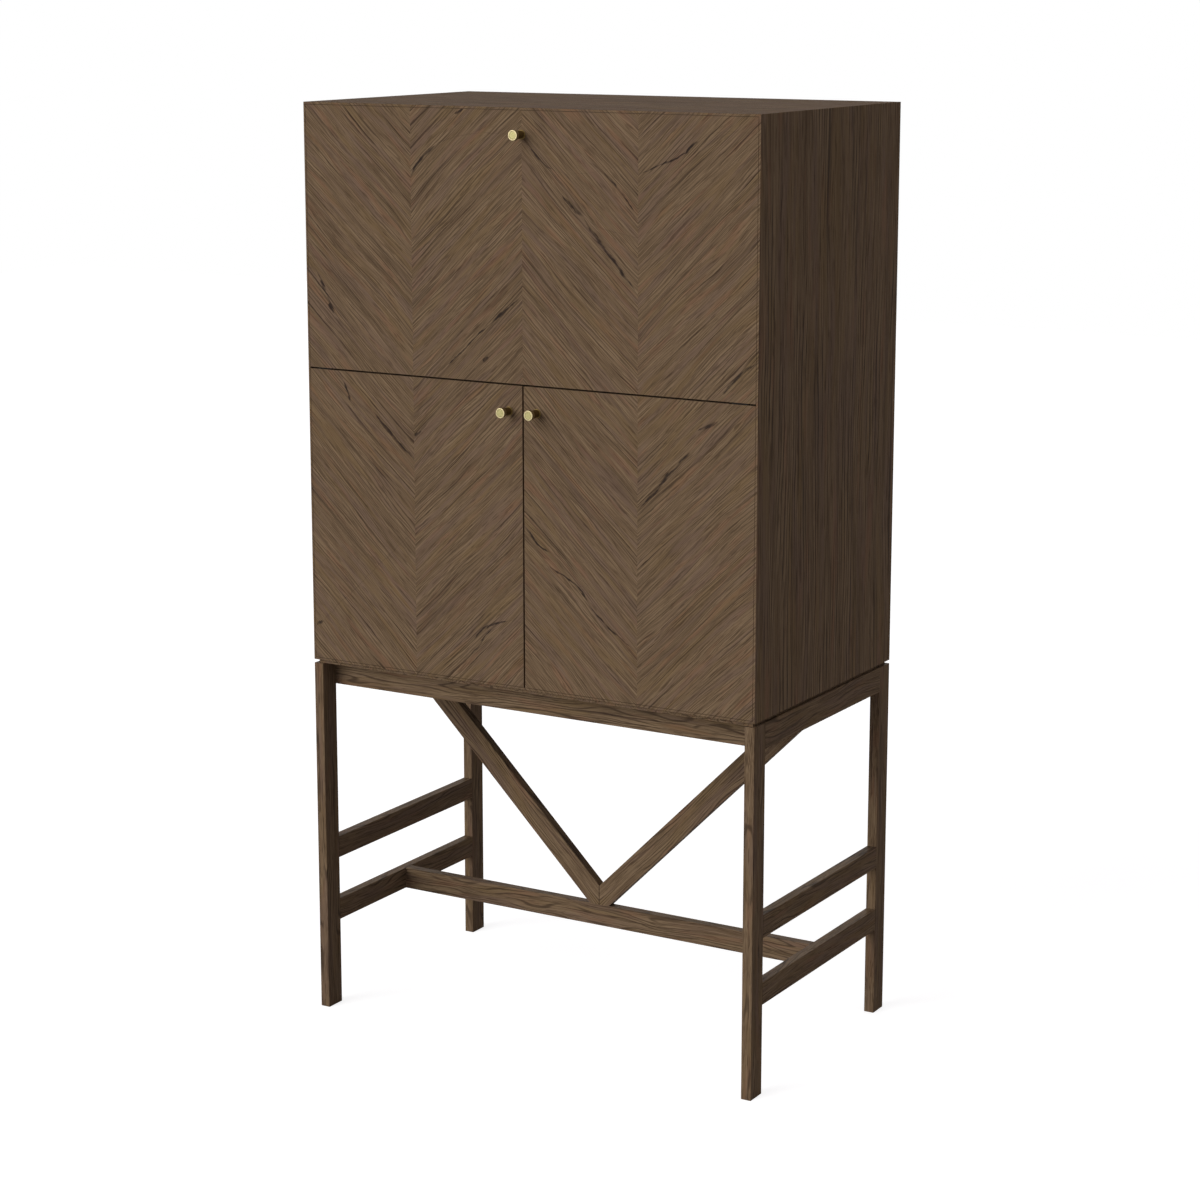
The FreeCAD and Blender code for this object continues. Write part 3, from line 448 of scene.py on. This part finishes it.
def check_mark(along, across, ragged, patchy, lower_end, upper_end, width, bend):
    _, low_along, low_across = leaf_place(*lower_end)
    _, high_along, high_across = leaf_place(*upper_end)
    run = Vector((high_along - low_along, high_across - low_across))
    way = run.normalized()
    on_along = along - low_along
    on_across = across - low_across
    share = (on_along * way.x + on_across * way.y) / run.length
    swell = share * (1 - share) * 4
    aside = on_across * way.x - on_along * way.y + ragged - swell * bend
    reach = rise(swell, low=0.0, high=0.7) * (CHECK_NARROW + patchy * CHECK_WIDER) * width
    return rise(reach - abs(aside), low=-CHECK_BLUR * width, high=CHECK_CORE * width)


def greater(first, second):
    """The greater of two values."""
    return first.math("MAXIMUM", first, second)


def checked_veneer(x, y, z, checks):
    """The slanted leaves, with dark checks that are ragged and patchy."""
    _, along, across = leaf_place(x, z)
    ragged = waver((along, across, y), length=36, width=12, detail=3, swing=10)
    patchy = patches((along, across, y), length=20, width=7, detail=2, start=0.36, full=0.62)
    marks = [check_mark(along, across, ragged, patchy, *check) for check in checks]
    dark = functools.reduce(greater, marks)
    colour, roughness, relief = chevron_veneer(x, y, z)
    colour = tinted(dark * (CHECK_DARK + patchy * CHECK_DARKER), colour, CHECK_TONE)
    return colour, roughness + dark * CHECK_ROUGHER, relief - dark * CHECK_DEPTH


# Each check has a lower and an upper end, in millimetres right of the centre and above the floor, a
# width, and a bend by which its middle rises above the straight line between its ends.
FLAP_CHECKS = [
    ((-202, 1389), (-153, 1437), 4.0, 5),
    ((-122, 1484), (-103, 1494), 2.5, 0),
    ((56, 1405), (15, 1438), 3.0, -5),
    ((110, 1336), (70, 1368), 4.0, -2),
    ((201, 1226), (104, 1340), 3.8, 0),
    ((201, 1345), (138, 1413), 2.2, 0),
    ((206, 1404), (290, 1440), 2.0, 0),
    ((282, 1433), (303, 1456), 3.2, 2),
    ((-350, 1160), (-385, 1231), 2.8, 0),
    ((-352, 1164), (-364, 1182), 4.5, 0),
    ((-145, 1091), (-58, 1168), 1.6, 0),
    ((-60, 1166), (-3, 1212), 2.4, 0),
    ((-72, 1106), (-62, 1116), 4.5, 0),
    ((340, 1081), (402, 1138), 2.8, 4),
]
LEFT_DOOR_CHECKS = [
    ((-322, 1026), (-337, 1060), 3.2, 0),
    ((-203, 944), (-281, 1017), 3.4, -2),
    ((-202, 982), (-187, 990), 4.2, 0),
    ((-95, 664), (-27, 703), 2.6, 9),
    ((-105, 634), (-58, 690), 1.8, 0),
    ((-398, 652), (-386, 663), 4.2, 0),
]
RIGHT_DOOR_CHECKS = [
    ((303, 1030), (341, 1047), 3.2, 0),
    ((205, 900), (298, 1003), 3.6, 2),
    ((48, 820), (3, 858), 2.2, -5),
    ((118, 750), (45, 797), 2.2, 7),
    ((200, 686), (112, 754), 2.0, -8),
]
flap_veneer, root = new_finish("oak_flap")
x, y, z = place_on_piece(root)
with_chevron_front(root, stained_oak((x, z, y), **VENEER_RINGS), checked_veneer(x, y, z, FLAP_CHECKS))
wear(flap_veneer, "flap")

for door, checks in (("left_door", LEFT_DOOR_CHECKS), ("right_door", RIGHT_DOOR_CHECKS)):
    door_veneer, root = new_finish(f"oak_{door}")
    x, y, z = place_on_piece(root)
    with_chevron_front(root, stained_oak((z, x, y), **VENEER_RINGS), checked_veneer(x, y, z, checks))
    wear(door_veneer, door)

# Knobs: turned from solid brass, with a broad flat head that is dished inside a narrow rim. The face is
# brushed in rings; the rim is painted lighter, a painted highlight, and the neck and collar are painted
# dark, a painted dark reflection of the shaded front. A screw through the front holds each knob.
# How far the rim is painted towards a painted highlight, and the neck towards a painted dark reflection.
RIM_PAINTED_HIGHLIGHT = 0.75
NECK_PAINTED_DARK_REFLECTION = 0.9
FACE_ROUGHNESS = 0.34
BRUSHING_ROUGHER = 0.12
NECK_ROUGHER = 0.1
knob_brass, root = new_finish("turned_brass")
share_of_box = root.node("ShaderNodeTexCoord", {}, {}, output="Generated")
across, back, up = [root.node("ShaderNodeSeparateXYZ", {}, {0: share_of_box}, output=axis) for axis in "XYZ"]
radius = ((across - 0.5) ** 2 + (up - 0.5) ** 2) ** 0.5
brushing = {"W": radius, "Scale": 90.0, "Detail": 3.0}
rings = root.node("ShaderNodeTexNoise", {"noise_dimensions": "1D"}, brushing)
rim = rise(radius, low=0.33, high=0.40)
neck = rise(back, low=0.27, high=0.33)
knob_colour = tinted(rings, tone(122, 116, 78), tone(146, 138, 98))
# Painted highlight: the rim is painted lighter.
knob_colour = tinted(rim * RIM_PAINTED_HIGHLIGHT, knob_colour, tone(166, 152, 118))
# Painted dark reflection: the neck and collar are painted dark.
knob_colour = tinted(neck * NECK_PAINTED_DARK_REFLECTION, knob_colour, tone(104, 84, 44))
knob_roughness = FACE_ROUGHNESS + rings * BRUSHING_ROUGHER + neck * NECK_ROUGHER
metal(root, knob_colour, knob_roughness, rings, depth=0.00005)
wear(knob_brass, "flap_knob", "left_door_knob", "right_door_knob")

# Stays, their feet, pins and bushes: brushed brass sheet and rod. The slotted stays turn on their feet on
# the flap and slide over the guide pins in the sides.
stay_brass = marked_metal("brushed_brass", "YZX", length=30, width=0.25, detail=2,
                          dark=tone(172, 150, 92), bright=tone(204, 184, 124),
                          smooth=0.30, rough=0.50, depth=0.00005)
wear(stay_brass, "left_stay", "right_stay", "stay_feet", "stay_foot_pins", "stay_guides",
     "flap_bushes", "left_door_bushes", "right_door_bushes")

# Floor and light: a pale studio floor that keeps a soft shadow, a broad lamp to the left of the camera, a
# weak one behind the cabinet and an even light all round, grey with a trace of pink. What the camera and
# the metal see beyond the cabinet is white.
WHITE = (1, 1, 1, 1)
FLOOR_REACH = 9.0
FLOOR_GREY = (0.40, 0.40, 0.40, 1)
FLOOR_SEEN = (0.50, 0.50, 0.50, 1)
FLOOR_GLOW = 0.79
floor_mesh = bpy.data.meshes.new("studio_floor")
corners = [(-FLOOR_REACH, -FLOOR_REACH, 0), (FLOOR_REACH, -FLOOR_REACH, 0),
           (FLOOR_REACH, FLOOR_REACH, 0), (-FLOOR_REACH, FLOOR_REACH, 0)]
floor_mesh.from_pydata(corners, [], [(0, 1, 2, 3)])
floor = bpy.data.objects.new("studio_floor", floor_mesh)
bpy.context.scene.collection.objects.link(floor)


def seen(root):
    """1 for what the camera sees, directly, in metal or through glass, and 0 for light on the object."""
    rays = [root.node("ShaderNodeLightPath", {}, {}, output=f"Is {kind} Ray")
            for kind in ("Camera", "Glossy", "Transmission")]
    return functools.reduce(greater, rays)


floor_paint, root = new_finish("studio_floor")
plain_floor = root.node("ShaderNodeBsdfDiffuse", {}, {"Color": FLOOR_GREY})
pale_floor = root.node("ShaderNodeBsdfDiffuse", {}, {"Color": FLOOR_SEEN})
glow = root.node("ShaderNodeEmission", {}, {"Color": WHITE, "Strength": FLOOR_GLOW})
lit_floor = root.node("ShaderNodeAddShader", {}, {0: pale_floor, 1: glow})
floor_shader = root.node("ShaderNodeMixShader", {}, {0: seen(root), 1: plain_floor, 2: lit_floor})
root.node("ShaderNodeOutputMaterial", {}, {"Surface": floor_shader})
floor_mesh.materials.append(floor_paint)

ROUND_LIGHT = 0.35
ROUND_COLOUR = (1.0, 0.945, 0.985, 1)
world = bpy.data.worlds.new("studio")
world.use_nodes = True
world.node_tree.nodes.clear()
root = Wire(world.node_tree)
round_level = ROUND_LIGHT + seen(root) * (1 - ROUND_LIGHT)
round_colour = tinted(seen(root), ROUND_COLOUR, WHITE)
background = root.node("ShaderNodeBackground", {}, {"Color": round_colour, "Strength": round_level})
root.node("ShaderNodeOutputWorld", {}, {"Surface": background})
bpy.context.scene.world = world

LAMP_BREADTH = math.radians(45)


def add_lamp(name, way, level):
    """A broad, distant lamp that shines one way; at level 1, white that faces it renders white."""
    lamp_data = bpy.data.lights.new(name, "SUN")
    lamp_data.energy = level * math.pi
    lamp_data.angle = LAMP_BREADTH
    lamp = bpy.data.objects.new(name, lamp_data)
    lamp.rotation_mode = "QUATERNION"
    lamp.rotation_quaternion = Vector(way).to_track_quat("-Z", "Y")
    bpy.context.scene.collection.objects.link(lamp)
    return lamp


add_lamp("broad_lamp", way=(0.46, 1.0, -0.38), level=0.78)
fill_lamp = add_lamp("fill_lamp", way=(0.4, -1.0, -0.06), level=0.26)
fill_lamp.visible_glossy = False

# Camera: to the right of the cabinet and a little above it, at the photograph's angle. Its lens is
# shifted down a little, which keeps the upright edges closer to parallel.
CAMERA_PLACE = Vector((2.2948, -3.8638, 1.6921))
CAMERA_PITCH = math.radians(11.27)
CAMERA_YAW = math.radians(30.66)
camera_data = bpy.data.cameras.new("camera")
camera_data.sensor_width = 36
camera_data.lens = 85.16
camera_data.shift_y = -0.05
camera = bpy.data.objects.new("camera", camera_data)
camera.location = CAMERA_PLACE
camera.rotation_euler = (math.pi / 2 - CAMERA_PITCH, 0, CAMERA_YAW)
bpy.context.scene.collection.objects.link(camera)
bpy.context.scene.camera = camera
bpy.context.scene.view_settings.view_transform = "Standard"
